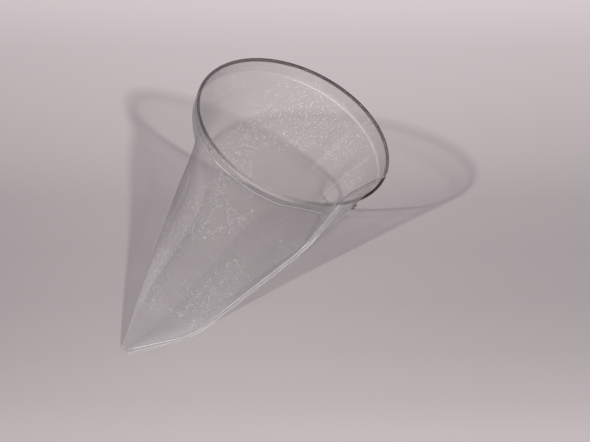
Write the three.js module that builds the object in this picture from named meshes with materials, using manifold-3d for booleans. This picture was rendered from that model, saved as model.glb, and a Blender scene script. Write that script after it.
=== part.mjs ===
// Conical nylon strainer: a sheer mesh bag hemmed around a hoop of coil spring, lying on its side on a table.
// Millimetres, +Z up, the table at z = 0. +X runs from the bag's tip towards its mouth, and the origin is
// under the middle of the whole strainer.
import * as THREE from 'three';
import Module from 'manifold-3d';
import { mergeVertices } from 'three/addons/utils/BufferGeometryUtils.js';

const wasm = await Module();
wasm.setup();

// Hoop: a closely wound spring bent into a ring, which leans back over the bag.
const hoopRadius = 100; // to the middle of the spring
const springRadius = 1.6; // of the coil, outside
const hoopLean = THREE.MathUtils.degToRad(24);
const eyeAngle = THREE.MathUtils.degToRad(236); // where the spring's two ends meet
const eyeRadius = 2.3; // of the linked eyes that join them, to the middle of the wire
const eyeWire = 0.5; // radius of the wire in the eyes
const eyeCount = 3;
const eyeShift = 0.3; // how far the row of eyes is moved back from the spring's middle, in eyes

// Bag: one folded sheet of mesh.
const cloth = 0.4; // thickness
const casingClearance = 0.3; // between the spring and the casing around it
const tipBack = 260; // from below the hoop's middle back to the tip
const tipAside = 36; // from the hoop's middle plane sideways to the tip
const tipHalfWidth = 3; // where the bag ends
const kneeBack = 222; // where the seam, lying on the table, turns towards the tip
const kneeAside = -3;
const kneeRounding = 16; // length over which it turns
const seamDrop = 0.34; // share of the seam's length in which it comes down to the table
const flatPlane = new THREE.Vector3(-0.27, -0.26, 0.93).normalize(); // the flattened end faces this way
const topFlattening = 0.75; // how much of its height the upper side loses at the tip
const roundShare = 0.35; // share of the way to the tip where the upper side starts to flatten
const flatShare = 0.95; // and where it has flattened

// Hem: the sheet is turned over the spring to the inside, and sewn down.
const hemDepth = 15; // from the spring to the turned edge
const stitchFromEdge = 2.5;
const stitchWidth = 2; // of the sewn strip between the casing's bore and its stitches

// Gap in the hem beside the seam, where the spring was threaded in and stays bare.
const gapStart = THREE.MathUtils.degToRad(198);
const gapEnd = THREE.MathUtils.degToRad(248);
const gapSag = 18; // the slack rim stands in from the spring
const gapBack = 7; // and back towards the tip
const gapRoll = 0.9; // radius of the empty fold along the slack rim
const sagFullness = 0.7; // below 1 the slack rim leaves the spring sooner, and runs flatter between
const backFullness = 0.8;

// Seam: both edges of the sheet sewn into a fin that stands out of the bag.
const seamAngle = THREE.MathUtils.degToRad(238.5); // where it reaches the rim
const seamReach = THREE.MathUtils.degToRad(115); // how far round the bag the seam pulls the cloth
const seamPull = 1.5; // how fast its pull fades away from the seam
const finWidth = 5.5;
const tipFinWidth = 8;
const finThickness = 2 * cloth;
const finRoot = 0.9; // hidden inside the wall
const finStart = 0.03; // shares of the way from the rim to the tip, for the fin's start
const finWiden = 0.8; // where it starts to widen towards the tip
const stitchEnd = 0.99; // and where its stitches end

// Sewing thread, lying just off the cloth.
const threadRadius = 0.25;
const threadGap = 0.5;
const seamStitch = 2; // from the wall out to the stitches in the fin

// Fineness of the surfaces.
const around = 72;
const along = 18;
const casingSteps = 6;
const tunnelSteps = 8;
const nearby = 0.004; // radians or share, for finding which way the wall faces
const finNearby = 0.01; // share, for finding which way the seam runs

// Folds in the cloth: degrees round the rim and share of the way to the tip, how wide and long, and how
// deep, below zero where they go inwards.
const folds = [
  { at: 18, share: 0.3, wide: 38, long: 0.27, deep: -15 }, // the far side hangs in
  { at: 20, share: 0.44, wide: 12, long: 0.16, deep: -4 }, // pleat at the far side
  { at: 36, share: 0.42, wide: 9, long: 0.16, deep: 3 },
  { at: 82, share: 0.34, wide: 26, long: 0.17, deep: 7 }, // the slack upper side stands out
  { at: 150, share: 0.16, wide: 7, long: 0.13, deep: -4 }, // creases below the hem
  { at: 172, share: 0.2, wide: 7, long: 0.15, deep: -4 },
  { at: 70, share: 0.66, wide: 24, long: 0.14, deep: -4 },
];

const casingRadius = springRadius + casingClearance + cloth; // outside of the cloth around the spring
const halfStep = Math.PI / around;
const rimRadius = hoopRadius + casingRadius;
const hoopHeight = rimRadius * Math.cos(hoopLean) * Math.cos(halfStep);
const mouth = new THREE.Vector3(Math.cos(hoopLean), 0, Math.sin(hoopLean)); // the way the mouth faces
const sideways = new THREE.Vector3(0, 1, 0);
const upHoop = new THREE.Vector3(-Math.sin(hoopLean), 0, Math.cos(hoopLean));
const frontX = casingRadius + rimRadius * Math.sin(hoopLean);
const backX = -tipBack - tipHalfWidth;
const centre = new THREE.Vector3(-(frontX + backX) / 2, 0, hoopHeight);
const tip = new THREE.Vector3(centre.x - tipBack, tipAside, tipHalfWidth);
const slant = tip.distanceTo(centre);
const hemShare = hemDepth / slant;
const stitchShare = (hemDepth - stitchFromEdge) / slant;
const boreShare = (hemDepth - stitchFromEdge - stitchWidth) / slant;

function outwards(angle) {
  return sideways.clone().multiplyScalar(Math.cos(angle)).addScaledVector(upHoop, Math.sin(angle));
}

function onHoop(angle, out, forward) {
  return centre.clone().addScaledVector(outwards(angle), hoopRadius + out).addScaledVector(mouth, forward);
}

function inGap(angle) {
  return angle > gapStart && angle < gapEnd;
}

// Radius of the turned edge: round the spring, and a small empty fold in the gap.
function turnRadius(angle) {
  return inGap(angle) ? gapRoll : casingRadius;
}

// The rim follows the spring, and hangs slack between the ends of the hem.
function rim(angle) {
  if (!inGap(angle)) return onHoop(angle, casingRadius, 0);
  const part = Math.sin((Math.PI * (angle - gapStart)) / (gapEnd - gapStart));
  return onHoop(angle, casingRadius - gapSag * part ** sagFullness, -gapBack * part ** backFullness);
}

// The seam comes down from the rim to the table, lies along it, and turns at the knee.
const knee = new THREE.Vector3(centre.x - kneeBack, kneeAside, 0);
const seamTop = rim(seamAngle);
const seamEnd = new THREE.Vector3(tip.x, tip.y, 0);
const before = knee.clone().add(seamTop.clone().setZ(0).sub(knee).setLength(kneeRounding));
const after = knee.clone().add(seamEnd.clone().sub(knee).setLength(kneeRounding));
const seamLine = new THREE.CurvePath();
seamLine.add(new THREE.LineCurve3(seamTop.clone().setZ(0), before));
seamLine.add(new THREE.QuadraticBezierCurve3(before, knee, after));
seamLine.add(new THREE.LineCurve3(after, seamEnd));

function onSeam(share) {
  const place = seamLine.getPointAt(THREE.MathUtils.clamp(share, 0, 1));
  const fall = 1 - THREE.MathUtils.smoothstep(share, -seamDrop, seamDrop);
  place.z += 2 * seamTop.z * fall;
  return place;
}

function roundCone(angle, share) {
  const start = rim(angle);
  const end = tip.clone().addScaledVector(outwards(angle), tipHalfWidth);
  return start.lerp(end, share);
}

function turnBetween(a, b) {
  const turn = Math.abs(a - b) % (2 * Math.PI);
  return Math.min(turn, 2 * Math.PI - turn);
}

// The outside of the cloth. share runs from 0 at the rim to 1 at the tip.
function wall(angle, share) {
  const place = roundCone(angle, share);
  const flatten = topFlattening * THREE.MathUtils.smoothstep(share, roundShare, flatShare);
  const middle = centre.clone().lerp(tip, share);
  const above = place.clone().sub(middle).dot(flatPlane);
  if (above > 0) place.addScaledVector(flatPlane, -flatten * above);
  const turn = turnBetween(angle, seamAngle);
  if (turn < seamReach) {
    const pull = onSeam(share).sub(roundCone(seamAngle, share));
    const weight = 0.5 + 0.5 * Math.cos((Math.PI * turn) / seamReach);
    place.addScaledVector(pull, weight ** seamPull);
  }
  const free = THREE.MathUtils.smoothstep(share, hemShare, 3 * hemShare);
  for (const fold of folds) {
    const round = turnBetween(angle, THREE.MathUtils.degToRad(fold.at)) / THREE.MathUtils.degToRad(fold.wide);
    const down = (share - fold.share) / fold.long;
    const depth = free * fold.deep * Math.exp(-round * round - down * down);
    place.addScaledVector(outwards(angle), depth);
  }
  place.z = Math.max(place.z, 0);
  return place;
}

function wallNormal(angle, share) {
  const across = wall(angle + nearby, share).sub(wall(angle - nearby, share));
  const down = wall(angle, share + nearby).sub(wall(angle, share - nearby));
  return across.cross(down).normalize().negate();
}

function insideWall(angle, share, depth) {
  const place = wall(angle, share).addScaledVector(wallNormal(angle, share), -depth);
  place.z = Math.max(place.z, depth);
  return place;
}

// Rows of points into one closed body. Each row is a closed loop, or a strip where ends are left to capping.
function loft(rows, closed) {
  const size = rows[0].length;
  const positions = rows.flat().flatMap((point) => [point.x, point.y, point.z]);
  const faces = [];
  const last = rows.length - 1;
  for (let i = 0; i < (closed ? rows.length : last); i++) {
    const a = i * size;
    const b = ((i + 1) % rows.length) * size;
    for (let j = 0; j < size; j++) {
      const k = (j + 1) % size;
      faces.push(a + j, b + j, b + k, a + j, b + k, a + k);
    }
  }
  if (!closed) {
    for (const [row, flip] of [[0, false], [last, true]]) {
      const middle = rows[row].reduce((sum, point) => sum.add(point), new THREE.Vector3()).divideScalar(size);
      const hub = positions.length / 3;
      positions.push(middle.x, middle.y, middle.z);
      for (let j = 0; j < size; j++) {
        const k = (j + 1) % size;
        const a = row * size + j;
        const b = row * size + k;
        faces.push(...(flip ? [a, hub, b] : [a, b, hub]));
      }
    }
  }
  const geometry = new THREE.BufferGeometry();
  geometry.setAttribute('position', new THREE.Float32BufferAttribute(positions, 3));
  geometry.setIndex(faces);
  return geometry;
}

function volume(geometry) {
  const place = geometry.getAttribute('position');
  const index = geometry.getIndex().array;
  const corner = (i) => new THREE.Vector3().fromBufferAttribute(place, index[i]);
  let sum = 0;
  for (let i = 0; i < index.length; i += 3) sum += corner(i).dot(corner(i + 1).cross(corner(i + 2)));
  return sum / 6;
}

function toSolid(geometry) {
  const bare = new THREE.BufferGeometry();
  bare.setAttribute('position', geometry.getAttribute('position'));
  bare.setIndex(geometry.getIndex());
  const merged = mergeVertices(bare, 1e-5);
  const triangles = Uint32Array.from(merged.getIndex().array);
  if (volume(merged) < 0) triangles.reverse();
  return new wasm.Manifold(
    new wasm.Mesh({ numProp: 3, vertProperties: merged.getAttribute('position').array, triVerts: triangles }),
  );
}

function toGeometry(solid) {
  const mesh = solid.getMesh();
  const geometry = new THREE.BufferGeometry();
  geometry.setAttribute('position', new THREE.Float32BufferAttribute(mesh.vertProperties, 3));
  geometry.setIndex(Array.from(mesh.triVerts));
  geometry.computeVertexNormals();
  return geometry;
}

function sweep(points, radius, sides, closed) {
  const rows = points.map((point, i) => {
    const next = points[closed ? (i + 1) % points.length : Math.min(i + 1, points.length - 1)];
    const previous = points[closed ? (i + points.length - 1) % points.length : Math.max(i - 1, 0)];
    const ahead = next.clone().sub(previous).normalize();
    const first = new THREE.Vector3().crossVectors(ahead, mouth).normalize();
    const second = new THREE.Vector3().crossVectors(ahead, first);
    return Array.from({ length: sides }, (_, k) => {
      const turn = (2 * Math.PI * (k + 0.5)) / sides;
      return point
        .clone()
        .addScaledVector(first, radius * Math.cos(turn))
        .addScaledVector(second, radius * Math.sin(turn));
    });
  });
  return loft(rows, closed);
}

// Angles round the hoop, with the lowest point in the middle of a step so that the hoop stands on a flat.
const angles = Array.from({ length: around }, (_, i) => (2 * i + 1) * halfStep);
const wallShares = Array.from({ length: along + 1 }, (_, i) => i / along);
const cavityStart = hemShare + 0.006; // shares between which the bag has its own hollow
const cavityEnd = 0.93;

function makeBag() {
  const rows = [];
  for (const share of [...wallShares].reverse()) rows.push(angles.map((angle) => wall(angle, share)));
  for (let i = 1; i <= casingSteps; i++) {
    const turn = (Math.PI * i) / casingSteps;
    rows.push(
      angles.map((angle) => {
        const way = outwards(angle);
        const radius = turnRadius(angle);
        return rim(angle)
          .addScaledVector(way, radius * (Math.cos(turn) - 1))
          .addScaledVector(mouth, radius * Math.sin(turn));
      }),
    );
  }
  for (const share of [stitchShare, hemShare]) {
    rows.push(angles.map((angle) => insideWall(angle, share, 2 * cloth)));
  }
  for (const share of wallShares) {
    const below = THREE.MathUtils.lerp(cavityStart, cavityEnd, share);
    rows.push(angles.map((angle) => insideWall(angle, below, cloth)));
  }
  return toSolid(loft(rows, false));
}

// The room for the spring inside the casing, closed by the stitches.
function makeTunnel() {
  const bore = casingRadius - cloth;
  const start = gapEnd - 2 * Math.PI;
  const overrun = 2; // steps into the gap at each end
  const arcStart = -0.12 * Math.PI; // the bore's round side, a little over half a turn
  const arcEnd = 1.12 * Math.PI;
  const rows = Array.from({ length: around + 2 * overrun + 1 }, (_, i) => {
    const angle = start + ((gapStart - start) * (i - overrun)) / around;
    const sewn = THREE.MathUtils.clamp(angle, start, gapStart);
    const way = outwards(angle);
    const middle = onHoop(angle, 0, 0);
    const arc = Array.from({ length: tunnelSteps + 1 }, (_, k) => {
      const turn = THREE.MathUtils.lerp(arcStart, arcEnd, k / tunnelSteps);
      return middle
        .clone()
        .addScaledVector(way, bore * Math.cos(turn))
        .addScaledVector(mouth, bore * Math.sin(turn));
    });
    return [...arc, insideWall(sewn, boreShare, cloth)];
  });
  return toSolid(loft(rows, false));
}

// The seam's fin, from the slack rim to the tip, lying outwards along the table.
function finEdge(share) {
  const root = wall(seamAngle, share);
  const next = wall(seamAngle, Math.min(share + finNearby, 1));
  const ahead = next.sub(wall(seamAngle, share - finNearby)).normalize();
  const out = new THREE.Vector3().crossVectors(ahead, new THREE.Vector3(0, 0, 1)).normalize().negate();
  return { root, out };
}

function makeFin() {
  const rows = Array.from({ length: 2 * along + 1 }, (_, i) => {
    const share = finStart + ((1 - finStart) * i) / (2 * along);
    const { root, out } = finEdge(share);
    const width = THREE.MathUtils.lerp(finWidth, tipFinWidth, THREE.MathUtils.smoothstep(share, finWiden, 1));
    const inner = root.clone().addScaledVector(out, -finRoot);
    const outer = root.clone().addScaledVector(out, width);
    const up = new THREE.Vector3(0, 0, finThickness);
    return [inner, outer, outer.clone().add(up), inner.clone().add(up)];
  });
  return toSolid(loft(rows, false));
}

// The spring as one round bar, and the eyes that link its two ends, each turned square to the next.
function makeSpring() {
  let spring = toSolid(sweep(angles.map((angle) => onHoop(angle, 0, 0)), springRadius, 8, true));
  const out = outwards(eyeAngle);
  const ahead = new THREE.Vector3().crossVectors(mouth, out);
  const pitch = 2 * eyeRadius - eyeWire;
  for (let i = 0; i < eyeCount; i++) {
    const eye = new THREE.TorusGeometry(eyeRadius, eyeWire, 6, 12);
    const facing = i % 2 ? ahead : out;
    const basis = new THREE.Matrix4().makeBasis(mouth, facing.clone().cross(mouth), facing);
    const forward = pitch * ((eyeCount - 1) / 2 - eyeShift - i);
    basis.setPosition(onHoop(eyeAngle, springRadius + eyeRadius - eyeWire, forward));
    spring = spring.add(toSolid(eye.applyMatrix4(basis)));
  }
  return spring;
}

// The line of stitches that closes the casing, on the inside of the bag.
function makeHemThread() {
  const depth = 2 * cloth + threadGap + threadRadius;
  const start = gapEnd - 2 * Math.PI + 2 * halfStep;
  const end = gapStart - 2 * halfStep;
  const points = Array.from({ length: around + 1 }, (_, i) =>
    insideWall(start + ((end - start) * i) / around, (stitchShare + hemShare) / 2, depth),
  );
  return toSolid(sweep(points, threadRadius, 5, false));
}

// The line of stitches along the fin, on its upper side.
function makeSeamThread() {
  const above = finThickness + threadGap + threadRadius;
  const count = 2 * along;
  const points = Array.from({ length: count + 1 }, (_, i) => {
    const { root, out } = finEdge(finStart + ((stitchEnd - finStart) * (i + 0.5)) / (count + 1));
    return root.addScaledVector(out, seamStitch).add(new THREE.Vector3(0, 0, above));
  });
  return toSolid(sweep(points, threadRadius, 5, false));
}

const bagCloth = new THREE.MeshStandardMaterial({ color: 0xe8e6e6, roughness: 0.6, metalness: 0 });
const springSteel = new THREE.MeshStandardMaterial({ color: 0x8a8480, roughness: 0.3, metalness: 1 });
const threadNylon = new THREE.MeshStandardMaterial({ color: 0xf2f0ee, roughness: 0.5, metalness: 0 });

const group = new THREE.Group();

function add(name, geometry, material) {
  const mesh = new THREE.Mesh(geometry, material);
  mesh.name = name;
  group.add(mesh);
}

const bag = makeBag().subtract(makeTunnel()).add(makeFin());
add('mesh_bag', toGeometry(bag), bagCloth);
add('spring_hoop', toGeometry(makeSpring()), springSteel);
add('hem_thread', toGeometry(makeHemThread()), threadNylon);
add('seam_thread', toGeometry(makeSeamThread()), threadNylon);

export default group;
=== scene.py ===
"""Conical strainer: a sheer nylon mesh bag hemmed round a coil-spring hoop, lying on a pale table."""
import math

import bpy
import numpy as np
from mathutils import Matrix, Vector


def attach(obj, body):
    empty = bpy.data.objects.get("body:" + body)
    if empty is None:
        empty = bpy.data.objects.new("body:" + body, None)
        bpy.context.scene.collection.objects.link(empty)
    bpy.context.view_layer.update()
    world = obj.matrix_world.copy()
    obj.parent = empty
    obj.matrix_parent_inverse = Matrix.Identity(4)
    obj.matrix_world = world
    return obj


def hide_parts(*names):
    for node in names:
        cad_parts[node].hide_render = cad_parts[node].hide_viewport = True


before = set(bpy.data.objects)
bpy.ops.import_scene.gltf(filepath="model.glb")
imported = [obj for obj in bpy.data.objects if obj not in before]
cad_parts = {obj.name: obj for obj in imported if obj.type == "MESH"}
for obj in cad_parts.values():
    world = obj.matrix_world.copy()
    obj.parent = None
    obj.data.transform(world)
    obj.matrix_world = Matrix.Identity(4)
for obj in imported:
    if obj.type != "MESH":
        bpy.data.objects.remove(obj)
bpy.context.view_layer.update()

# Sizes in metres, the same as in the part's source.
HOOP_RADIUS = 0.100
SPRING_RADIUS = 0.0016
CLOTH = 0.0004
CASING_RADIUS = SPRING_RADIUS + 0.0003 + CLOTH
LEAN = math.radians(24)
TIP_BACK = 0.260
TIP_ASIDE = 0.036
TIP_HALF_WIDTH = 0.003
KNEE = (0.222, -0.003, 0.016)  # back from below the hoop's middle, aside, rounding
SEAM_DROP = 0.34
TOP_FACING = np.array([-0.27, -0.26, 0.93])  # the way that the flattened upper side faces
FLAT_PLANE = TOP_FACING / np.linalg.norm(TOP_FACING)
TOP_FLATTENING = 0.75
FLATTENING_START = 0.35  # shares of the way to the tip over which it sets in
FLATTENING_END = 0.95
HEM_DEPTH = 0.015
GAP_START = math.radians(198)
GAP_END = math.radians(248)
GAP_SAG = 0.018
GAP_BACK = 0.007
GAP_ROLL = 0.0009
SEAM_ANGLE = math.radians(238.5)
SEAM_REACH = math.radians(115)
FIN_WIDTH = 0.0055
TIP_FIN_WIDTH = 0.008
FIN_START = 0.03
FIN_THICKNESS = 2 * CLOTH
EYE_ANGLE = math.radians(236)
EYE_RADIUS = 0.0023
EYE_WIRE = 0.0005
AROUND = 72  # steps round the hoop in the source, which set how high it stands

FOLDS = [  # degrees round the rim, share of the way to the tip, width, length, depth outwards in metres
    (18, 0.30, 38, 0.27, -0.015),
    (20, 0.44, 12, 0.16, -0.004),
    (36, 0.42, 9, 0.16, 0.003),
    (82, 0.34, 26, 0.17, 0.007),
    (150, 0.16, 7, 0.13, -0.004),
    (172, 0.20, 7, 0.15, -0.004),
    (70, 0.66, 24, 0.14, -0.004),
]

CREASES = [  # degrees round the rim, shares where it starts and ends, width in degrees, strength
    (150, 0.06, 0.30, 1.6, 0.16),
    (171, 0.05, 0.34, 1.4, 0.20),
    (26, 0.10, 0.50, 1.2, 0.3),
    (342, 0.30, 0.85, 1.5, 0.35),
    (318, 0.12, 0.40, 1.2, 0.3),
]

RIM_RADIUS = HOOP_RADIUS + CASING_RADIUS
HOOP_HEIGHT = RIM_RADIUS * math.cos(LEAN) * math.cos(math.pi / AROUND)
MOUTH = np.array([math.cos(LEAN), 0.0, math.sin(LEAN)])
SIDEWAYS = np.array([0.0, 1.0, 0.0])
UP_HOOP = np.array([-math.sin(LEAN), 0.0, math.cos(LEAN)])
FRONT_X = CASING_RADIUS + RIM_RADIUS * math.sin(LEAN)
CENTRE = np.array([-(FRONT_X - TIP_BACK - TIP_HALF_WIDTH) / 2, 0.0, HOOP_HEIGHT])
TIP = np.array([CENTRE[0] - TIP_BACK, TIP_ASIDE, TIP_HALF_WIDTH])
SLANT = float(np.linalg.norm(TIP - CENTRE))
HEM_SHARE = HEM_DEPTH / SLANT
STITCH_INSET = 0.00125  # from the hem's cut edge to its stitches
STITCH_SHARE = (HEM_DEPTH - STITCH_INSET) / SLANT
SEAM_STITCH = 0.002  # from the wall out to the stitches in the fin
THREAD_LIFT = 0.0004  # of a stitch's middle above the cloth
SNUG_RADIUS = SPRING_RADIUS + CLOTH / 2  # the thin cloth lies close round the spring

# The dressed cloth. Rows are counted down the bag, and columns round it.
BAG_COLUMNS = 420
WALL_ROWS = 170
WALL_START = 0.006  # share of the way to the tip of the wall's first row
WALL_CROWDING = 1.1  # above 1, the rows stand closer near the rim
FOLD_ROWS = 12
LEAF_END = 0.012  # share at which the turned-in leaf meets the fold
FIN_COLUMNS = 260
FIN_ROWS = 6
FIN_PARTING = 0.0006  # between its two layers at the free edge
FIN_RIPPLES = [(0.0004, 61, 0.0), (0.0003, 143, 1.0)]  # height in metres, radians along the fin, start
FIN_FLAT_PLACE = (0.35, 0.002)  # a strip of its own beside the cone, in the cut sheet
FIN_FLAT_LENGTH = 0.3
FIN_FLAT_STEP = 0.01  # from one layer's strip to the other's
FLAT_SLANT = 0.310  # of the cut sheet, from the tip to the rim
UV_SPAN = 0.64  # metres of sheet across the UV square

# Share that the threads of one layer cover, seen straight on.
COVER_WALL = 0.138
COVER_LEAF = 0.075
COVER_FOLD = 0.008  # over the spring, where it is pulled tight
COVER_BACK = 0.42  # behind the spring at the lower side of the mouth
COVER_HEM = 0.19  # the cut edge that is turned in
COVER_ROLL = 0.75  # the slack rim and the gathers beside it
COVER_FIN = 0.10
COVER_FIN_EDGE = 0.38
HEM_LINES = [0, 0, 0, 0.5, 0.1, 0, 0.6, 0.1, 0, 0]  # pressed lines in the hem, from its cut edge to the rim

# How far the grey cloth turns white, from 0 to 1. The tip, seam, underside and left values are painted
# light, which lifts the wall where it falls into shade.
PAINTED_LIGHT_TIP = 0.14
PAINTED_LIGHT_SEAM = 0.22
PAINTED_LIGHT_UNDERSIDE = 0.11
PAINTED_LIGHT_LEFT = 0.20
PALE_BACK = 0.35  # behind the spring at the lower side of the mouth
PALE_BEHIND = 0.2  # added to the wall there
PALE_LINE = 0.8
PALE_CREASE = 0.7
PALE_FIN = 0.6
CREASE_COVER = 0.3  # how far a crease's cover goes towards that of the roll
GAP_THINNING = 0.6  # share of the cover lost below the slack rim

# Places round the rim and how far they reach, in degrees. 90 is the rim's top and 270 its foot.
PRESSED_ARC = (60, 40)  # where the hem's pressed lines show most
LOW_ARC = (300, 42)  # the lower side of the mouth
# The side that gets painted light, where the wall's edge falls into shade.
PAINTED_LIGHT_LEFT_ARC = (350, 45)  # the side that is paler
SEAM_PAINTED_LIGHT_REACH = math.radians(100)

# The weave, in the bag's material.
WEAVE_PITCH = 0.0005  # of the mesh, from thread to thread
WEAVE_LEAST = 0.55  # cover between the threads, against the mean
WEAVE_GAIN = 0.9  # what a thread adds to it
CLOUD_LEAST = 0.6
CLOUD_GAIN = 0.8
STEEPEST = 0.38  # cosine of the slant past which a layer gets no denser
MOST_COVER = 0.97
CLOUD_GRAIN = (7.0, 3.0)  # scale and detail of the noise that thickens and thins the weave
# Painted glints: white spots put into the cloth's colour and cover where thread crossings would catch the
# lamps.
GLINT_CELL = 0.00068  # between the crossings where a glint may be
GLINT_RARITY = 0.89  # share of them without one
GLINT_SIZE = 0.40  # its radius, in cells
GLINT_GRAIN = (11.0, 4.0)  # scale and detail of the noise that gathers glints in patches
GLINT_PATCH = 0.50  # level of that noise above which there are glints
GLINT_STRENGTH = 0.56
GLINT_WHITENESS = 1.5
# Grey of the sheer cloth, kept dark so that the upper back wall, which gets no painted light, shows painted
# shade.
CLOTH_GREY = (0.205, 0.182, 0.186, 1)
CLOTH_WHITE = (0.84, 0.81, 0.82, 1)

# The spring, its eyes and the stitches.
SPRING_WIRE = 0.0003
SPRING_PITCH = 0.0006
WIRE_SIDES = 6
TURN_STEPS = 12
EYE_SHIFT = 0.3  # of the chain of eyes towards the bag, in links
EYE_SQUEEZE = 0.86  # of an eye's width against its length
STITCH_RADIUS = 0.00018
STITCH_LENGTH = 0.0022
STITCH_PITCH = 0.0027
STITCH_STEPS = 400  # points along each row of stitches
STITCH_END = 0.55  # thickness at its ends, where it dips into the cloth

# The table's tones are painted light and shade, running across it from the near side to the far side.
TABLE_NEAR = 0.3  # how far before the origin they start
TABLE_SPAN = 1.3
TABLE_TURN = math.atan2(0.345, 0.809)
TABLE_TINT = (1.11, 1, 1.03)
TABLE_PAINTED_LIGHT_TONES = [(0.0, 0.50), (0.057, 0.465), (0.087, 0.405), (0.136, 0.345), (0.193, 0.31), (0.262, 0.306),
               (0.345, 0.333), (0.446, 0.42), (0.574, 0.51), (0.741, 0.61), (0.923, 0.77), (1.0, 0.83)]
TABLE_SIZE = 8

# The camera stands at the photograph's viewing angle, and the lamps give its two soft shadows.
LENS = 57.09  # millimetres, on a sensor 36 mm wide
CAMERA_BACK = Vector((-0.8091, -0.3453, 0.4756)).normalized()
CAMERA_AIM = Vector((0.1101, -0.0044, 0))
CAMERA_DISTANCE = 0.96878
FAR_LAMP_PLACE = (-2.590, -2.670, 1.767)
NEAR_LAMP_PLACE = (-0.139, -0.014, 0.301)
NEAR_LAMP_AIM = (0.30, 0.10, 0)
ROOM_LIGHT = 0.325


# The shape of the bag, worked out as the part's source does.
def smoothstep(x, low, high):
    x = np.clip((x - low) / (high - low), 0.0, 1.0)
    return x * x * (3 - 2 * x)


def outwards(angle):
    """The way out from the hoop's middle, in the hoop's own plane."""
    return np.cos(angle)[..., None] * SIDEWAYS + np.sin(angle)[..., None] * UP_HOOP


def on_hoop(angle, out, forward):
    reach = np.asarray(HOOP_RADIUS + out)[..., None]
    return CENTRE + outwards(angle) * reach + np.asarray(forward)[..., None] * MOUTH


def gap_share(angle):
    return np.clip((angle - GAP_START) / (GAP_END - GAP_START), 0.0, 1.0)


def rim(angle):
    """The rim lies round the spring, and hangs slack in the hem's gap."""
    part = np.sin(np.pi * gap_share(angle))
    return on_hoop(angle, CASING_RADIUS - GAP_SAG * part ** 0.7, -GAP_BACK * part ** 0.8)


def seam_route():
    """The line on the table along which the seam lies, from under the rim to the tip."""
    top = rim(np.array(SEAM_ANGLE))
    start = np.array([top[0], top[1], 0.0])
    end = np.array([TIP[0], TIP[1], 0.0])
    knee = np.array([CENTRE[0] - KNEE[0], KNEE[1], 0.0])
    before = knee + (start - knee) / np.linalg.norm(start - knee) * KNEE[2]
    after = knee + (end - knee) / np.linalg.norm(end - knee) * KNEE[2]
    t = np.linspace(0, 1, 40)[:, None]
    bend = before * (1 - t) ** 2 + knee * 2 * t * (1 - t) + after * t ** 2
    line = np.vstack([start + (before - start) * t[:-1], bend[:-1], after + (end - after) * t])
    length = np.concatenate([[0], np.cumsum(np.linalg.norm(np.diff(line, axis=0), axis=1))])
    return line, length / length[-1], float(top[2])


SEAM_LINE, SEAM_SHARES, SEAM_TOP = seam_route()


def on_seam(share):
    place = np.stack([np.interp(share, SEAM_SHARES, SEAM_LINE[:, i]) for i in range(3)], -1)
    place[..., 2] += 2 * SEAM_TOP * (1 - smoothstep(share, -SEAM_DROP, SEAM_DROP))
    return place


def round_cone(angle, share):
    end = TIP + outwards(angle) * TIP_HALF_WIDTH
    return rim(angle) * (1 - share[..., None]) + end * share[..., None]


def turn_between(angle, other):
    """The smaller turn between two places round the rim."""
    turn = np.abs(angle - other) % (2 * np.pi)
    return np.minimum(turn, 2 * np.pi - turn)


def nearness_to_seam(angle, reach):
    """1 at the seam, fading to 0 at the reach on both sides."""
    turn = turn_between(angle, SEAM_ANGLE)
    return 0.5 + 0.5 * np.cos(np.pi * np.minimum(turn / reach, 1.0))


def wall(angle, share):
    """Places on the outside of the cloth: share runs from 0 at the rim to 1 at the tip."""
    place = round_cone(angle, share)
    middle = CENTRE * (1 - share[..., None]) + TIP * share[..., None]
    above = np.maximum((place - middle) @ FLAT_PLANE, 0.0)
    flatter = TOP_FLATTENING * smoothstep(share, FLATTENING_START, FLATTENING_END)
    place = place - (flatter * above)[..., None] * FLAT_PLANE
    pull = on_seam(share) - round_cone(np.full_like(angle, SEAM_ANGLE), share)
    weight = nearness_to_seam(angle, SEAM_REACH) ** 1.5
    place = place + pull * weight[..., None]
    free = smoothstep(share, HEM_SHARE, 3 * HEM_SHARE)
    for at, where, wide, long, deep in FOLDS:
        across = turn_between(angle, math.radians(at)) / math.radians(wide)
        depth = free * deep * np.exp(-across ** 2 - ((share - where) / long) ** 2)
        place = place + outwards(angle) * depth[..., None]
    place[..., 2] = np.maximum(place[..., 2], CLOTH / 2)
    return place


# Materials.
def new_material(name):
    material = bpy.data.materials.new(name)
    material.use_nodes = True
    nodes, links = material.node_tree.nodes, material.node_tree.links
    return material, nodes, links, nodes["Principled BSDF"]


def math_node(nodes, links, operation, first, second=None, clamp=False):
    node = nodes.new("ShaderNodeMath")
    node.operation = operation
    node.use_clamp = clamp
    for socket, value in zip(node.inputs, (first, second)):
        if value is None:
            continue
        if isinstance(value, (int, float)):
            socket.default_value = value
        else:
            links.new(value, socket)
    return node.outputs[0]


def woven_threads(nodes, links, uv):
    """Cover against its mean: more on the threads of the plain weave than between them."""
    threads = []
    for axis in (0, 1):
        parts = nodes.new("ShaderNodeSeparateXYZ")
        links.new(uv.outputs["UV"], parts.inputs[0])
        wave = math_node(nodes, links, "MULTIPLY", parts.outputs[axis], 2 * math.pi * UV_SPAN / WEAVE_PITCH)
        wave = math_node(nodes, links, "COSINE", wave)
        threads.append(math_node(nodes, links, "MAXIMUM", wave, 0.0))
    weave = math_node(nodes, links, "MAXIMUM", threads[0], threads[1])
    weave = math_node(nodes, links, "MULTIPLY", weave, WEAVE_GAIN)
    return math_node(nodes, links, "ADD", weave, WEAVE_LEAST)


def soft_clouds(nodes, links, uv, scale, detail):
    cloud = nodes.new("ShaderNodeTexNoise")
    cloud.inputs["Scale"].default_value = scale
    cloud.inputs["Detail"].default_value = detail
    links.new(uv.outputs["UV"], cloud.inputs["Vector"])
    return cloud.outputs["Fac"]


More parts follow.
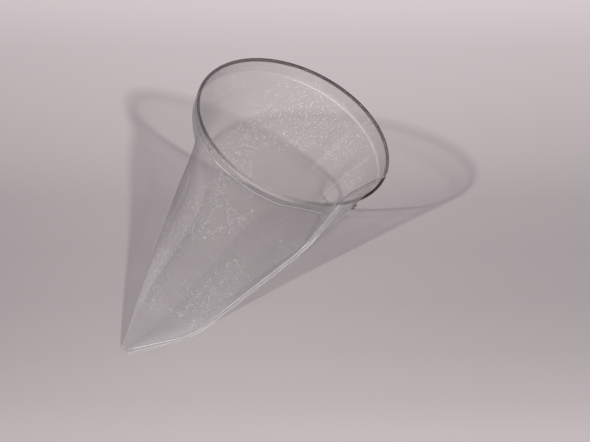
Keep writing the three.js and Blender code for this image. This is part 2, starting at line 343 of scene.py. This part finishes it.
def seen_aslant(nodes, links, share):
    """What a layer hides: its cover seen straight on, and again as the eye's slant makes it denser."""
    facing = nodes.new("ShaderNodeLayerWeight")
    facing.inputs["Blend"].default_value = 0.5
    across = math_node(nodes, links, "SUBTRACT", 1.0, facing.outputs["Facing"])
    across = math_node(nodes, links, "MAXIMUM", across, STEEPEST)
    slanted = math_node(nodes, links, "DIVIDE", share, across)
    slanted = math_node(nodes, links, "MINIMUM", slanted, MOST_COVER)
    gaps = math_node(nodes, links, "SUBTRACT", 1.0, slanted)
    straight = math_node(nodes, links, "SUBTRACT", 1.0, share)
    through = math_node(nodes, links, "MULTIPLY", gaps, straight)
    return math_node(nodes, links, "SUBTRACT", 1.0, through)


def glints(nodes, links, uv):
    """Painted glints: white crossings of the threads, about a millimetre apart, in loose patches, put into
    the colour and cover.
    """
    cells = nodes.new("ShaderNodeTexVoronoi")
    cells.inputs["Scale"].default_value = UV_SPAN / GLINT_CELL
    links.new(uv.outputs["UV"], cells.inputs["Vector"])
    tint = nodes.new("ShaderNodeSeparateColor")
    links.new(cells.outputs["Color"], tint.inputs[0])
    rare = math_node(nodes, links, "GREATER_THAN", tint.outputs[0], GLINT_RARITY)
    near = math_node(nodes, links, "LESS_THAN", cells.outputs["Distance"], GLINT_SIZE)
    patches = soft_clouds(nodes, links, uv, *GLINT_GRAIN)
    zone = math_node(nodes, links, "GREATER_THAN", patches, GLINT_PATCH)
    spot = math_node(nodes, links, "MULTIPLY", rare, near)
    spot = math_node(nodes, links, "MULTIPLY", spot, zone)
    return math_node(nodes, links, "MULTIPLY", spot, GLINT_STRENGTH)


def cloth_attribute(nodes, name):
    attribute = nodes.new("ShaderNodeAttribute")
    attribute.attribute_name = name
    return attribute.outputs["Fac"]


def sheer_nylon():
    """Plain weave of fine threads: grey where it is sheer, white where it is pressed or gathered, and also
    white from painted light and painted glints.
    """
    material, nodes, links, surface = new_material("sheer_nylon_mesh")
    surface.inputs["Roughness"].default_value = 0.75
    surface.inputs["Specular IOR Level"].default_value = 0.15
    uv = nodes.new("ShaderNodeUVMap")
    uv.uv_map = "cut_sheet"
    clouds = soft_clouds(nodes, links, uv, *CLOUD_GRAIN)
    cloudy = math_node(nodes, links, "MULTIPLY", clouds, CLOUD_GAIN)
    cloudy = math_node(nodes, links, "ADD", cloudy, CLOUD_LEAST)
    weave = woven_threads(nodes, links, uv)
    share = math_node(nodes, links, "MULTIPLY", cloth_attribute(nodes, "cover"), weave)
    share = math_node(nodes, links, "MULTIPLY", share, cloudy)
    layer = seen_aslant(nodes, links, share)
    glint = glints(nodes, links, uv)
    links.new(math_node(nodes, links, "MAXIMUM", layer, glint, clamp=True), surface.inputs["Alpha"])

    # Painted glints and painted light join the cloth's own white in the mix.
    whiteness_and_painted_light = math_node(nodes, links, "MULTIPLY", glint, GLINT_WHITENESS)
    whiteness_and_painted_light = math_node(nodes, links, "MAXIMUM", whiteness_and_painted_light, cloth_attribute(nodes, "white"), clamp=True)
    colour = nodes.new("ShaderNodeMix")
    colour.data_type = "RGBA"
    colour.inputs["A"].default_value = CLOTH_GREY
    colour.inputs["B"].default_value = CLOTH_WHITE
    links.new(whiteness_and_painted_light, colour.inputs["Factor"])
    links.new(colour.outputs["Result"], surface.inputs["Base Color"])
    return material


def spring_steel():
    material, _, _, surface = new_material("coil_spring_steel")
    surface.inputs["Metallic"].default_value = 1.0
    surface.inputs["Base Color"].default_value = (0.10, 0.078, 0.072, 1)
    surface.inputs["Roughness"].default_value = 0.32
    return material


def sewing_thread():
    material, _, _, surface = new_material("nylon_sewing_thread")
    surface.inputs["Base Color"].default_value = (0.88, 0.87, 0.87, 1)
    surface.inputs["Roughness"].default_value = 0.45
    return material


def table_top():
    """Pale pinkish grey, with painted light and shade in tones that run darker across the middle."""
    material, nodes, links, surface = new_material("table_painted_light")
    surface.inputs["Roughness"].default_value = 0.9
    where = nodes.new("ShaderNodeTexCoord")
    turn = nodes.new("ShaderNodeMapping")
    turn.inputs["Location"].default_value = (TABLE_NEAR / TABLE_SPAN, 0.0, 0.0)
    turn.inputs["Scale"].default_value = (1 / TABLE_SPAN, 1 / TABLE_SPAN, 1.0)
    turn.inputs["Rotation"].default_value = (0, 0, -TABLE_TURN)
    links.new(where.outputs["Object"], turn.inputs["Vector"])
    parts = nodes.new("ShaderNodeSeparateXYZ")
    links.new(turn.outputs["Vector"], parts.inputs[0])
    tones = nodes.new("ShaderNodeValToRGB")
    links.new(parts.outputs[0], tones.inputs["Fac"])
    while len(tones.color_ramp.elements) < len(TABLE_PAINTED_LIGHT_TONES):
        tones.color_ramp.elements.new(0.5)
    for element, (place, tone) in zip(tones.color_ramp.elements, TABLE_PAINTED_LIGHT_TONES):
        element.position = place
        element.color = [tone * tint for tint in TABLE_TINT] + [1]
    links.new(tones.outputs["Color"], surface.inputs["Base Color"])
    return material


# The mesh bag.
def wall_normal(angle, share):
    step = 0.004
    across = wall(angle + step, share) - wall(angle - step, share)
    down = wall(angle, share + step) - wall(angle, share - step)
    normal = -np.cross(across, down)
    return normal / np.linalg.norm(normal, axis=-1)[..., None]


def inside_wall(angle, share, depth):
    place = wall(angle, share) - wall_normal(angle, share) * depth
    place[..., 2] = np.maximum(place[..., 2], depth)
    return place


def fin_edge(share):
    """The seam's root and the way its fin stands out along the table."""
    angle = np.full_like(share, SEAM_ANGLE)
    root = wall(angle, share)
    step = 0.01
    ahead = wall(angle, np.minimum(share + step, 1)) - wall(angle, share - step)
    ahead /= np.linalg.norm(ahead, axis=-1)[..., None]
    out = -np.cross(ahead, np.array([0.0, 0.0, 1.0]))
    return root, out / np.linalg.norm(out, axis=-1)[..., None]


def in_gap(angles):
    return (angles > GAP_START) & (angles < GAP_END)


def near_gap(angles):
    """1 where the rim hangs slack, fading out over the gathers at both ends of the gap."""
    fade = math.radians(4)
    return smoothstep(angles, GAP_START - fade, GAP_START) * smoothstep(-angles, -GAP_END - fade, -GAP_END)


def spread(angles, at, reach):
    """1 at one place round the rim, fading to both sides. The place and the reach are in degrees."""
    return np.exp(-(turn_between(angles, math.radians(at)) / math.radians(reach)) ** 2)


def rise(value, start, full):
    """Rises from 0 to 1 between two values. Where all three are given negative, it falls instead."""
    return float(smoothstep(value, start, full))


def creases(angles, share):
    """Where the cloth is pressed into a line that catches the light."""
    found = np.zeros(len(angles))
    for at, start, end, wide, strong in CREASES:
        along = rise(share, start, start + 0.05) * rise(-share, -end, -end + 0.08)
        found = np.maximum(found, strong * along * spread(angles, at, wide))
    return found


def cut_place(angles, share):
    """Where a point lay in the flat sheet, in metres: a sector round the tip, cut along the seam."""
    turned = (angles - SEAM_ANGLE + np.pi) % (2 * np.pi) - np.pi
    turned = (turned + 2 * np.pi) % (2 * np.pi) * HOOP_RADIUS / FLAT_SLANT
    reach = (1 - share) * FLAT_SLANT
    return np.stack([reach * np.cos(turned), reach * np.sin(turned)], -1)


def grid_faces(rows, columns):
    faces = []
    for i in range(rows - 1):
        for j in range(columns - 1):
            a, b = i * columns + j, (i + 1) * columns + j
            faces.append((a, a + 1, b + 1, b))
    return faces


def hem_rows(angles):
    """The leaf that is turned in behind the spring, from its cut edge up to the fold."""
    pressed = spread(angles, *PRESSED_ARC)
    low = spread(angles, *LOW_ARC)
    upper_side = smoothstep(angles, math.radians(50), math.radians(150)) * (angles < GAP_END)
    full = 0.12 + 0.88 * upper_side
    rows = []
    for share, line in zip(np.linspace(HEM_SHARE, LEAF_END, len(HEM_LINES)), HEM_LINES):
        edge = max(0.0, 1 - (HEM_SHARE - share) / HEM_SHARE * 3)
        close = low * rise(-share, -0.030, -0.014)
        places = inside_wall(angles, np.full(len(angles), share), 2 * CLOTH)
        cover = COVER_LEAF + (COVER_HEM - COVER_LEAF) * np.maximum(edge * full, line * pressed)
        cover = np.maximum(cover, COVER_BACK * close)
        white = np.maximum(np.maximum(edge * full, PALE_LINE * line * pressed), PALE_BACK * close)
        rows.append((-share, places, cover, white))
    return rows


def fold_rows(angles):
    """The cloth round the spring, from inside the mouth to outside, and the slack roll in the gap."""
    low = spread(angles, *LOW_ARC)
    slack = near_gap(angles)
    radius = np.where(in_gap(angles), GAP_ROLL, SNUG_RADIUS)
    top = rim(angles) - outwards(angles) * np.where(in_gap(angles), 0, CASING_RADIUS - SNUG_RADIUS)[:, None]
    rows = []
    for turn in np.linspace(math.pi, 0, FOLD_ROWS):
        shift = radius[:, None] * ((math.cos(turn) - 1) * outwards(angles) + math.sin(turn) * MOUTH)
        sides = rise(abs(turn - 1.2), 0.3, 1.2)
        tight = COVER_FOLD + (COVER_BACK - COVER_FOLD) * sides * low
        cover = tight + (COVER_ROLL - tight) * slack
        white = np.maximum(slack, PALE_BACK * sides * low)
        rows.append((0.0, top + shift, cover, white))
    return rows


def painted_light(angles, share):
    """Painted light: the wall is paler at the tip, by the seam, on its underside and on one side, where it
    falls into shade.
    """
    underside = smoothstep(turn_between(angles, math.radians(125)), math.radians(60), math.radians(100))
    by_seam = nearness_to_seam(angles, SEAM_PAINTED_LIGHT_REACH) * rise(share, 0.05, 0.3)
    pale = PAINTED_LIGHT_TIP * rise(share, 0.35, 1.0) + PAINTED_LIGHT_SEAM * by_seam
    return pale + PAINTED_LIGHT_UNDERSIDE * underside + PAINTED_LIGHT_LEFT * spread(angles, *PAINTED_LIGHT_LEFT_ARC)


def wall_rows(angles):
    """The cone's one layer, from the rim down to the tip."""
    low = spread(angles, *LOW_ARC)
    slack = near_gap(angles)
    rows = []
    for share in WALL_START + (1 - WALL_START) * np.linspace(0, 1, WALL_ROWS) ** WALL_CROWDING:
        roll = slack * rise(-share, -0.012, -0.006)
        behind = low * rise(-share, -0.022, -0.010)
        thin = 1 - GAP_THINNING * slack * rise(-share, -0.12, -0.02)
        crease = creases(angles, share)
        plain = COVER_WALL * thin + (COVER_BACK - COVER_WALL) * behind
        cover = plain + (COVER_ROLL - plain) * np.maximum(roll, CREASE_COVER * crease)
        # Painted light on the wall, and the paler cloth behind the spring.
        pale = painted_light(angles, share) + PALE_BEHIND * behind
        white = np.maximum(np.maximum(roll, pale), PALE_CREASE * crease)
        rows.append((share, wall(angles, np.full(len(angles), share)), cover, white))
    return rows


def make_bag():
    """One sheet: the turned hem, the fold over the spring, the cone down to the tip, and the seam's fin."""
    angles = SEAM_ANGLE + np.arange(BAG_COLUMNS + 1) * 2 * np.pi / BAG_COLUMNS
    turned = angles % (2 * np.pi)
    rows = hem_rows(turned) + fold_rows(turned) + wall_rows(turned)
    points = np.vstack([places for _, places, _, _ in rows])
    flat = np.vstack([cut_place(angles, share) for share, _, _, _ in rows])
    fin_points, fin_cover, fin_white, fin_flat = fin_rows()
    faces = grid_faces(len(rows), BAG_COLUMNS + 1) + fin_faces(len(points))

    mesh = bpy.data.meshes.new("mesh_bag_cloth")
    mesh.from_pydata(np.vstack([points, fin_points]).tolist(), [], faces)
    bag = bpy.data.objects.new("mesh_bag_cloth", mesh)
    bpy.context.scene.collection.objects.link(bag)
    write_attribute(mesh, "cover", [cover for _, _, cover, _ in rows] + [fin_cover])
    # The white attribute holds the cloth's own white and the painted light on the wall.
    write_attribute(mesh, "white", [white for _, _, _, white in rows] + [fin_white])
    lay_flat(mesh, np.vstack([flat, fin_flat]))
    mesh.shade_smooth()
    return bag


def write_attribute(mesh, name, values):
    attribute = mesh.attributes.new(name, "FLOAT", "POINT")
    attribute.data.foreach_set("value", np.concatenate(values).astype(np.float32))


def fin_rows():
    """Both edges of the sheet, sewn together: two layers that part a little at the free edge."""
    share = np.linspace(FIN_START, 1, FIN_COLUMNS)
    root, out = fin_edge(share)
    width = FIN_WIDTH + (TIP_FIN_WIDTH - FIN_WIDTH) * smoothstep(share, 0.8, 1)
    ripple = sum(high * np.sin(share * fast + start) for high, fast, start in FIN_RIPPLES)
    points, covers, whites, flats = [], [], [], []
    for layer in (0, 1):
        for step in np.linspace(0, 1, FIN_ROWS):
            parting = FIN_PARTING * step
            height = CLOTH / 2 + layer * (CLOTH + parting) + (ripple + FIN_PARTING) * step * layer
            place = root + out * ((width + ripple) * step)[:, None]
            place[:, 2] += height
            points.append(place)
            edge = 1.0 if step in (0.0, 1.0) else 0.25
            covers.append(np.full(FIN_COLUMNS, COVER_FIN + (COVER_FIN_EDGE - COVER_FIN) * edge))
            whites.append(np.full(FIN_COLUMNS, max(edge, PALE_FIN)))
            along = FIN_FLAT_PLACE[1] + share * FIN_FLAT_LENGTH + FIN_FLAT_STEP * layer
            flats.append(np.stack([FIN_FLAT_PLACE[0] + width * step, along], -1))
    return np.vstack(points), np.concatenate(covers), np.concatenate(whites), np.vstack(flats)


def fin_faces(first):
    """The fin's faces, whose points follow the bag's own. Its two layers face away from each other."""
    faces = []
    for layer in (0, 1):
        for i in range(FIN_ROWS - 1):
            a = first + (layer * FIN_ROWS + i) * FIN_COLUMNS
            b = a + FIN_COLUMNS
            for j in range(FIN_COLUMNS - 1):
                quad = (a + j, b + j, b + j + 1, a + j + 1)
                faces.append(quad if layer else quad[::-1])
    return faces


def lay_flat(mesh, flat):
    """The sheet's own UV map: metres in the cut sheet, scaled to fill the square."""
    corners = np.zeros(len(mesh.loops), np.int32)
    mesh.loops.foreach_get("vertex_index", corners)
    scaled = (flat - flat.min(0)) / UV_SPAN
    uv = mesh.uv_layers.new(name="cut_sheet")
    uv.uv.foreach_set("vector", scaled[corners].astype(np.float32).ravel())


def deselect():
    bpy.ops.object.select_all(action="DESELECT")


# The coil spring and its linked eyes.
def make_spring():
    """A straight closely wound coil, whose turns are then laid round the hoop."""
    turns = int(2 * math.pi * HOOP_RADIUS / SPRING_PITCH)
    deselect()
    bpy.ops.mesh.primitive_circle_add(vertices=WIRE_SIDES, radius=SPRING_WIRE, fill_type="NOTHING",
                                      location=(0, 0, 0))
    coil = bpy.context.object
    coil.name = "coil_spring_hoop"
    bpy.ops.object.mode_set(mode="EDIT")
    bpy.ops.mesh.select_all(action="SELECT")
    bpy.ops.transform.rotate(value=math.pi / 2, orient_axis="X", center_override=(0, 0, 0))
    bpy.ops.transform.translate(value=(SPRING_RADIUS - SPRING_WIRE, 0, 0))
    bpy.ops.object.mode_set(mode="OBJECT")
    screw = coil.modifiers.new("winding", "SCREW")
    screw.axis = "Z"
    screw.angle = 2 * math.pi
    screw.screw_offset = 2 * math.pi * HOOP_RADIUS / turns
    screw.iterations = turns
    screw.steps = TURN_STEPS
    screw.render_steps = TURN_STEPS
    bpy.ops.object.modifier_apply(modifier=screw.name)
    points = np.array([v.co for v in coil.data.vertices])
    angle = EYE_ANGLE + points[:, 2] / HOOP_RADIUS
    placed = on_hoop(angle, points[:, 0], points[:, 1])
    coil.data.vertices.foreach_set("co", placed.astype(np.float32).ravel())
    coil.data.update()
    bpy.ops.object.mode_set(mode="EDIT")
    bpy.ops.mesh.select_all(action="SELECT")
    bpy.ops.mesh.normals_make_consistent(inside=False)
    bpy.ops.object.mode_set(mode="OBJECT")
    coil.data.shade_smooth()
    return coil


def make_eyes():
    """Three small wire eyes in a chain, each turned square to the next."""
    out = outwards(np.array(EYE_ANGLE))
    ahead = np.cross(MOUTH, out)
    pitch = 2 * EYE_RADIUS - EYE_WIRE
    made = []
    for i in range(3):
        facing = ahead if i % 2 else out
        across = np.cross(facing, MOUTH)
        forward = pitch * (1 - EYE_SHIFT - i)
        place = on_hoop(np.array(EYE_ANGLE), SPRING_RADIUS + EYE_RADIUS - EYE_WIRE, forward)
        deselect()
        bpy.ops.mesh.primitive_torus_add(major_segments=40, minor_segments=12, major_radius=EYE_RADIUS,
                                         minor_radius=EYE_WIRE, location=(0, 0, 0))
        eye = bpy.context.object
        bpy.ops.object.mode_set(mode="EDIT")
        bpy.ops.mesh.select_all(action="SELECT")
        bpy.ops.transform.resize(value=(1.0, EYE_SQUEEZE, 1.0), center_override=(0, 0, 0))
        bpy.ops.object.mode_set(mode="OBJECT")
        basis = Matrix((MOUTH, across, facing)).transposed().to_4x4()
        basis.translation = Vector(place)
        eye.data.transform(basis)
        eye.data.shade_smooth()
        made.append(eye)
    return made


# The two rows of stitches.
def make_path(name, points):
    curve = bpy.data.curves.new(name, "CURVE")
    curve.dimensions = "3D"
    line = curve.splines.new("POLY")
    line.points.add(len(points) - 1)
    line.points.foreach_set("co", np.hstack([points, np.ones((len(points), 1))]).ravel())
    path = bpy.data.objects.new(name, curve)
    bpy.context.scene.collection.objects.link(path)
    return path


def make_stitch(name):
    """One stitch, a short thread that dips at both ends."""
    deselect()
    bpy.ops.mesh.primitive_cylinder_add(vertices=6, radius=STITCH_RADIUS, depth=STITCH_LENGTH,
                                        end_fill_type="NGON", location=(0, 0, 0))
    stitch = bpy.context.object
    stitch.name = name
    bpy.ops.object.mode_set(mode="EDIT")
    bpy.ops.mesh.select_all(action="SELECT")
    bpy.ops.transform.rotate(value=math.pi / 2, orient_axis="Y", center_override=(0, 0, 0))
    for plane in (-0.25, 0.25):
        bpy.ops.mesh.select_all(action="SELECT")
        bpy.ops.mesh.bisect(plane_co=(plane * STITCH_LENGTH, 0, 0), plane_no=(1, 0, 0))
    bpy.ops.object.mode_set(mode="OBJECT")
    for vertex in stitch.data.vertices:
        end = abs(vertex.co.x) / (STITCH_LENGTH / 2)
        if end > 0.9:
            vertex.co.y *= STITCH_END
            vertex.co.z *= STITCH_END
        vertex.co.x += STITCH_LENGTH / 2
    return stitch


def make_stitches(name, points):
    """The stitch repeated along a line."""
    stitch = make_stitch(name)
    steps = np.linalg.norm(np.diff(points, axis=0), axis=1)
    repeat = stitch.modifiers.new("repeat", "ARRAY")
    repeat.count = int(steps.sum() / STITCH_PITCH)
    repeat.use_relative_offset = False
    repeat.use_constant_offset = True
    repeat.constant_offset_displace = (STITCH_PITCH, 0, 0)
    path = make_path(name + "_line", points)
    follow = stitch.modifiers.new("follow", "CURVE")
    follow.object = path
    bpy.ops.object.modifier_apply(modifier=repeat.name)
    bpy.ops.object.modifier_apply(modifier=follow.name)
    bpy.data.objects.remove(path)
    stitch.data.shade_smooth()
    return stitch


def hem_line():
    """Beside the hem's cut edge, inside the bag, from one end of the gap round to the other."""
    start = GAP_END - 2 * math.pi + 2 * math.pi / AROUND
    end = GAP_START - 2 * math.pi / AROUND
    angles = np.linspace(start, end, STITCH_STEPS) % (2 * np.pi)
    return inside_wall(angles, np.full(STITCH_STEPS, STITCH_SHARE), 2 * CLOTH + THREAD_LIFT)


def seam_line():
    """Along the fin, on top of it, from under the rim to the tip."""
    share = np.linspace(FIN_START + 0.01, 0.985, STITCH_STEPS)
    root, out = fin_edge(share)
    place = root + out * SEAM_STITCH
    place[:, 2] += FIN_THICKNESS + THREAD_LIFT
    return place


# Camera, lamps and table.
def make_camera():
    lens = bpy.data.cameras.new("camera")
    lens.sensor_width = 36
    lens.lens = LENS
    camera = bpy.data.objects.new("camera", lens)
    bpy.context.scene.collection.objects.link(camera)
    camera.location = CAMERA_AIM + CAMERA_BACK * CAMERA_DISTANCE
    camera.rotation_mode = "QUATERNION"
    camera.rotation_quaternion = (-CAMERA_BACK).to_track_quat("-Z", "Y")
    bpy.context.scene.camera = camera


def make_lamp(name, place, aim, size, watts, even=False):
    """A round lamp. An even one lights near and far alike, without falling off."""
    light = bpy.data.lights.new(name, "AREA")
    light.shape = "DISK"
    light.size = size
    light.energy = watts
    light.color = (1.0, 0.985, 0.98)
    if even:
        light.use_nodes = True
        nodes, links = light.node_tree.nodes, light.node_tree.links
        falloff = nodes.new("ShaderNodeLightFalloff")
        falloff.inputs["Strength"].default_value = 1.0
        links.new(falloff.outputs["Constant"], nodes["Emission"].inputs["Strength"])
    lamp = bpy.data.objects.new(name, light)
    bpy.context.scene.collection.objects.link(lamp)
    lamp.location = place
    lamp.rotation_mode = "QUATERNION"
    lamp.rotation_quaternion = (Vector(aim) - Vector(place)).to_track_quat("-Z", "Y")
    lamp.visible_camera = False


def make_table():
    deselect()
    bpy.ops.mesh.primitive_plane_add(size=TABLE_SIZE, location=(0, 0, 0))
    table = bpy.context.object
    table.name = "table"
    bpy.ops.object.transform_apply(location=True, rotation=True, scale=True)
    table.data.materials.append(table_top())


def make_world():
    world = bpy.data.worlds.new("room")
    bpy.context.scene.world = world
    world.use_nodes = True
    background = world.node_tree.nodes["Background"]
    background.inputs["Color"].default_value = (1.0, 0.97, 0.98, 1)
    background.inputs["Strength"].default_value = ROOM_LIGHT


make_camera()
make_world()
make_table()
make_lamp("far_lamp", FAR_LAMP_PLACE, (0, 0, 0), size=0.20, watts=196)
make_lamp("near_lamp", NEAR_LAMP_PLACE, NEAR_LAMP_AIM, size=0.012, watts=5.2, even=True)

bag = make_bag()
bag.data.materials.append(sheer_nylon())
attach(bag, "root")
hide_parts("mesh_bag")

coil = make_spring()
coil.data.materials.append(spring_steel())
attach(coil, "root")
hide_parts("spring_hoop")

steel = coil.data.materials[0]
for number, eye in enumerate(make_eyes()):
    eye.name = f"linked_eye_{number + 1}"
    eye.data.materials.append(steel)
    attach(eye, "root")

thread = sewing_thread()
stitch_lines = (
    ("hem_stitches", hem_line(), "hem_thread"),
    ("seam_stitches", seam_line(), "seam_thread"),
)
for name, points, node in stitch_lines:
    stitches = make_stitches(name, points)
    stitches.data.materials.append(thread)
    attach(stitches, "root")
    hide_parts(node)

scene = bpy.context.scene
scene.view_settings.view_transform = "Standard"
